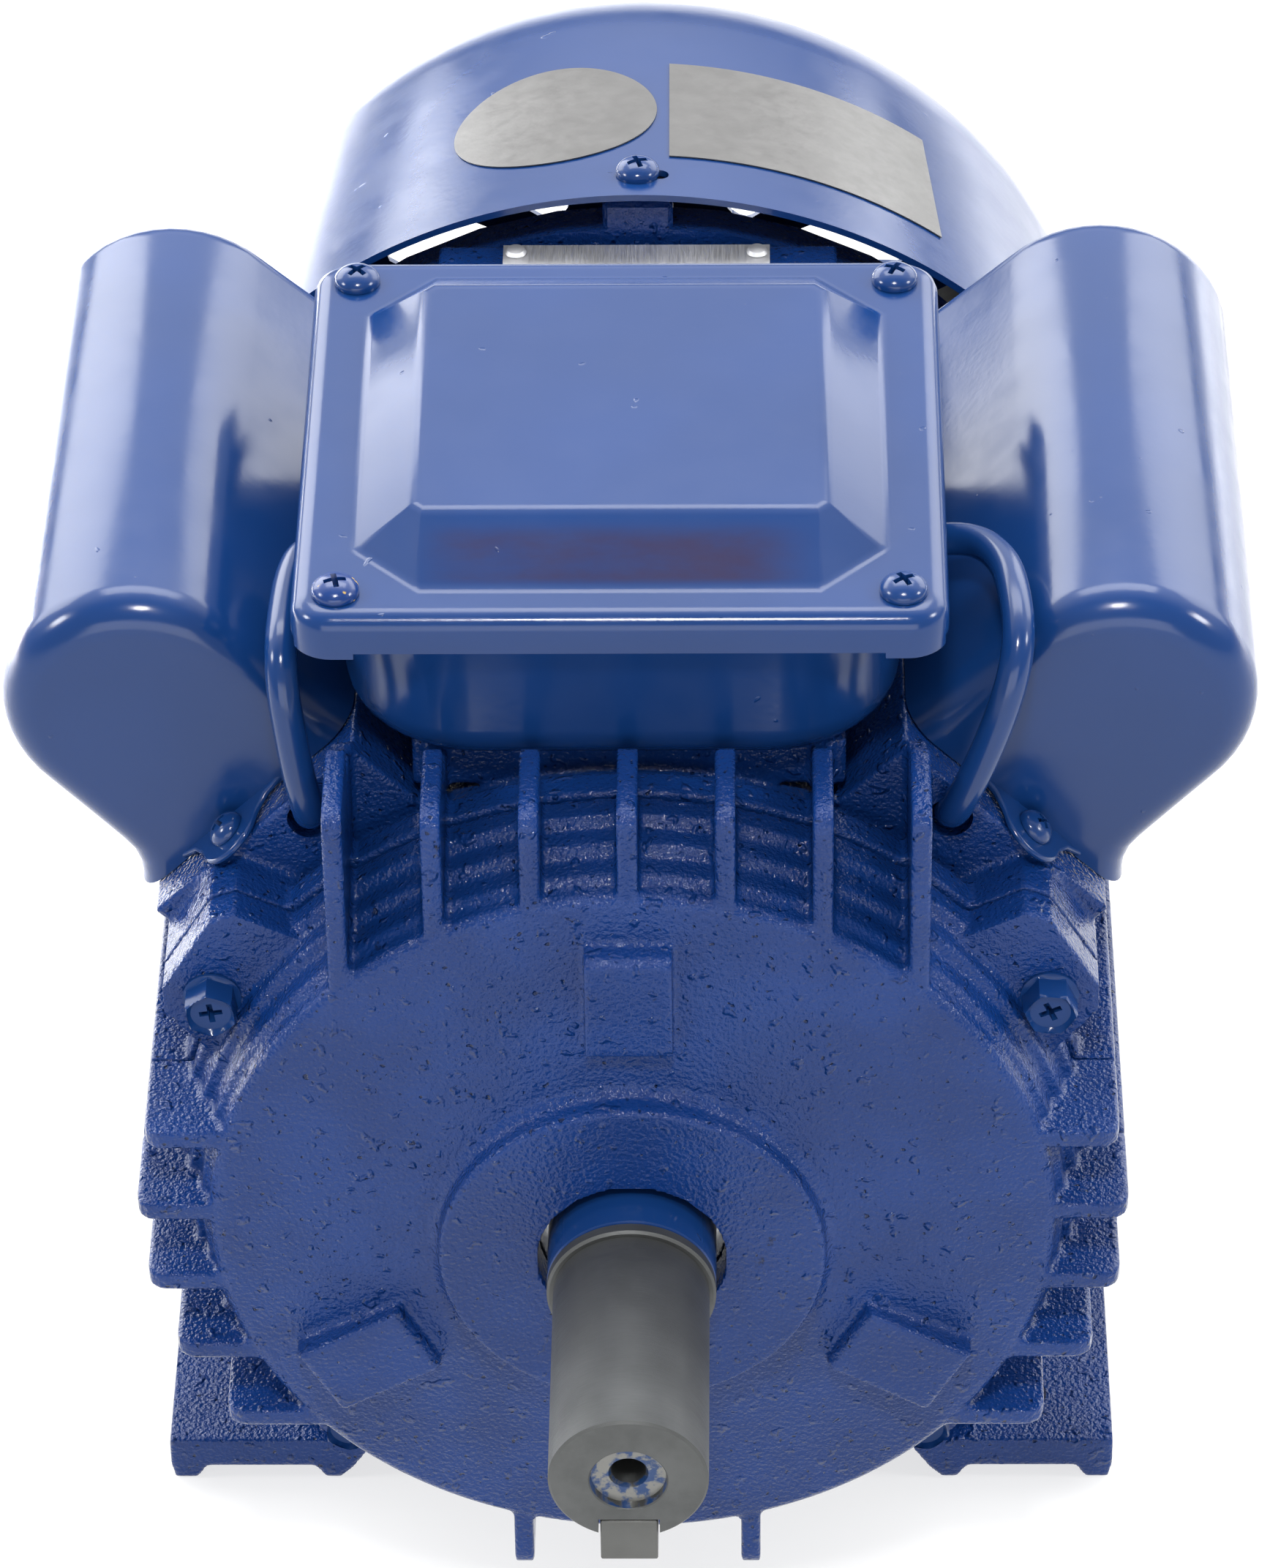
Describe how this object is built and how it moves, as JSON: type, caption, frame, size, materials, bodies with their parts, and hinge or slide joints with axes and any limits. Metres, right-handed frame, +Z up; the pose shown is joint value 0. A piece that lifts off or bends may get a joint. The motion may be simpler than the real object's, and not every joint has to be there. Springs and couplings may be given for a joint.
{
  "type": "electric motor",
  "caption": "Foot-mounted single-phase capacitor motor: finned cast housing, keyed shaft, two capacitor covers, terminal box and rear fan cowl.",
  "frame": {"origin": "on the floor under the middle of the motor, at the centre of its outline seen from above", "axes": "+Z up, -Y towards the drive end, shaft axis along Y at 90 mm above the feet, X across the feet"},
  "size_m": [0.1914, 0.3138, 0.201],
  "materials": {
    "stator_housing": "gloss",
    "drive_end_shield": "gloss",
    "rear_end_shield": "gloss",
    "fan_cowl": "gloss",
    "terminal_box_base": "gloss",
    "terminal_box_lid": "gloss",
    "capacitor_cover_left": "gloss",
    "capacitor_cover_right": "gloss",
    "front_bolt_1": "gloss",
    "rear_bolt_1": "gloss",
    "lid_screw_1": "gloss",
    "terminal_stud_1": "satin",
    "front_bolt_2": "gloss",
    "rear_bolt_2": "gloss",
    "lid_screw_2": "gloss",
    "terminal_stud_2": "satin",
    "front_bolt_3": "gloss",
    "rear_bolt_3": "gloss",
    "lid_screw_3": "gloss",
    "terminal_stud_3": "satin",
    "front_bolt_4": "gloss",
    "rear_bolt_4": "gloss",
    "lid_screw_4": "gloss",
    "terminal_stud_4": "satin",
    "cowl_screw_1": "gloss",
    "cowl_screw_2": "gloss",
    "cowl_screw_3": "gloss",
    "cover_screw_left_front": "gloss",
    "cover_screw_left_rear": "gloss",
    "capacitor_lead_left": "painted over",
    "cover_screw_right_front": "gloss",
    "cover_screw_right_rear": "gloss",
    "capacitor_lead_right": "painted over",
    "terminal_box_gasket": "matt",
    "terminal_board": "moulded",
    "board_screw_1": "plated",
    "board_screw_2": "plated",
    "run_capacitor": "moulded",
    "start_capacitor": "moulded",
    "nameplate": "brushed",
    "nameplate_rivet_1": "satin",
    "nameplate_rivet_2": "satin",
    "cowl_label_round": "printed film, left blank",
    "cowl_label_square": "printed film, left blank",
    "stator_core": "laminated",
    "end_winding_front": "varnished copper wire",
    "bearing_outer_front": "ground",
    "bearing_inner_front": "ground",
    "bearing_cage_front": "pressed",
    "end_winding_rear": "varnished copper wire",
    "bearing_outer_rear": "ground",
    "bearing_inner_rear": "ground",
    "bearing_cage_rear": "pressed",
    "shaft": "turned",
    "shaft_key": "ground",
    "rotor_core": "laminated",
    "governor_plate": "plated",
    "governor_sleeve": "moulded",
    "switch_plate": "moulded",
    "cooling_fan": "moulded"
  },
  "bodies": {
    "frame": {"stator_housing": "stator_housing", "drive_end_shield": "drive_end_shield", "rear_end_shield": "rear_end_shield", "fan_cowl": "fan_cowl", "terminal_box_base": "terminal_box_base", "terminal_box_lid": "terminal_box_lid", "capacitor_cover_left": "capacitor_cover_left", "capacitor_cover_right": "capacitor_cover_right", "front_bolt_1": "front_bolt_1", "rear_bolt_1": "rear_bolt_1", "lid_screw_1": "lid_screw_1", "terminal_stud_1": "terminal_stud_1", "front_bolt_2": "front_bolt_2", "rear_bolt_2": "rear_bolt_2", "lid_screw_2": "lid_screw_2", "terminal_stud_2": "terminal_stud_2", "front_bolt_3": "front_bolt_3", "rear_bolt_3": "rear_bolt_3", "lid_screw_3": "lid_screw_3", "terminal_stud_3": "terminal_stud_3", "front_bolt_4": "front_bolt_4", "rear_bolt_4": "rear_bolt_4", "lid_screw_4": "lid_screw_4", "terminal_stud_4": "terminal_stud_4", "cowl_screw_1": "cowl_screw_1", "cowl_screw_2": "cowl_screw_2", "cowl_screw_3": "cowl_screw_3", "cover_screw_left_front": "cover_screw_left_front", "cover_screw_left_rear": "cover_screw_left_rear", "capacitor_lead_left": "capacitor_lead_left", "cover_screw_right_front": "cover_screw_right_front", "cover_screw_right_rear": "cover_screw_right_rear", "capacitor_lead_right": "capacitor_lead_right", "terminal_box_gasket": "terminal_box_gasket", "terminal_board": "terminal_board", "board_screw_1": "board_screw_1", "board_screw_2": "board_screw_2", "run_capacitor": "run_capacitor", "start_capacitor": "start_capacitor", "nameplate": "nameplate", "nameplate_rivet_1": "nameplate_rivet_1", "nameplate_rivet_2": "nameplate_rivet_2", "cowl_label_round": "cowl_label_round", "cowl_label_square": "cowl_label_square", "stator_core": "stator_core", "end_winding_front": "end_winding_front", "bearing_outer_front": "bearing_outer_front", "end_winding_rear": "end_winding_rear", "bearing_outer_rear": "bearing_outer_rear", "switch_plate": "switch_plate"},
    "rotor": {"shaft": "shaft", "shaft_key": "shaft_key", "rotor_core": "rotor_core", "governor_plate": "governor_plate", "cooling_fan": "cooling_fan", "bearing_inner_front": "bearing_inner_front", "bearing_inner_rear": "bearing_inner_rear"},
    "governor_sleeve": {"governor_sleeve": "governor_sleeve"},
    "cage_front": {"bearing_cage_front": "bearing_cage_front"},
    "cage_rear": {"bearing_cage_rear": "bearing_cage_rear"}
  },
  "joints": [
    {"name": "rotor_spin", "type": "hinge", "parent": "frame", "child": "rotor", "pos_m": [0, -0.1036, 0.09], "axis": [0, 1, 0], "continuous": true},
    {"name": "cage_front_spin", "type": "hinge", "parent": "frame", "child": "cage_front", "pos_m": [0, -0.1036, 0.09], "axis": [0, 1, 0], "continuous": true},
    {"name": "cage_rear_spin", "type": "hinge", "parent": "frame", "child": "cage_rear", "pos_m": [0, -0.1036, 0.09], "axis": [0, 1, 0], "continuous": true},
    {"name": "governor_slide", "type": "slide", "parent": "rotor", "child": "governor_sleeve", "axis": [0, -1, 0], "range_m": [0, 0.003], "stiffness_N_per_m": 200}
  ],
  "couplings": [
    {"joint": "cage_front_spin", "follows": "rotor_spin", "ratio": 0.4},
    {"joint": "cage_rear_spin", "follows": "rotor_spin", "ratio": 0.4}
  ]
}
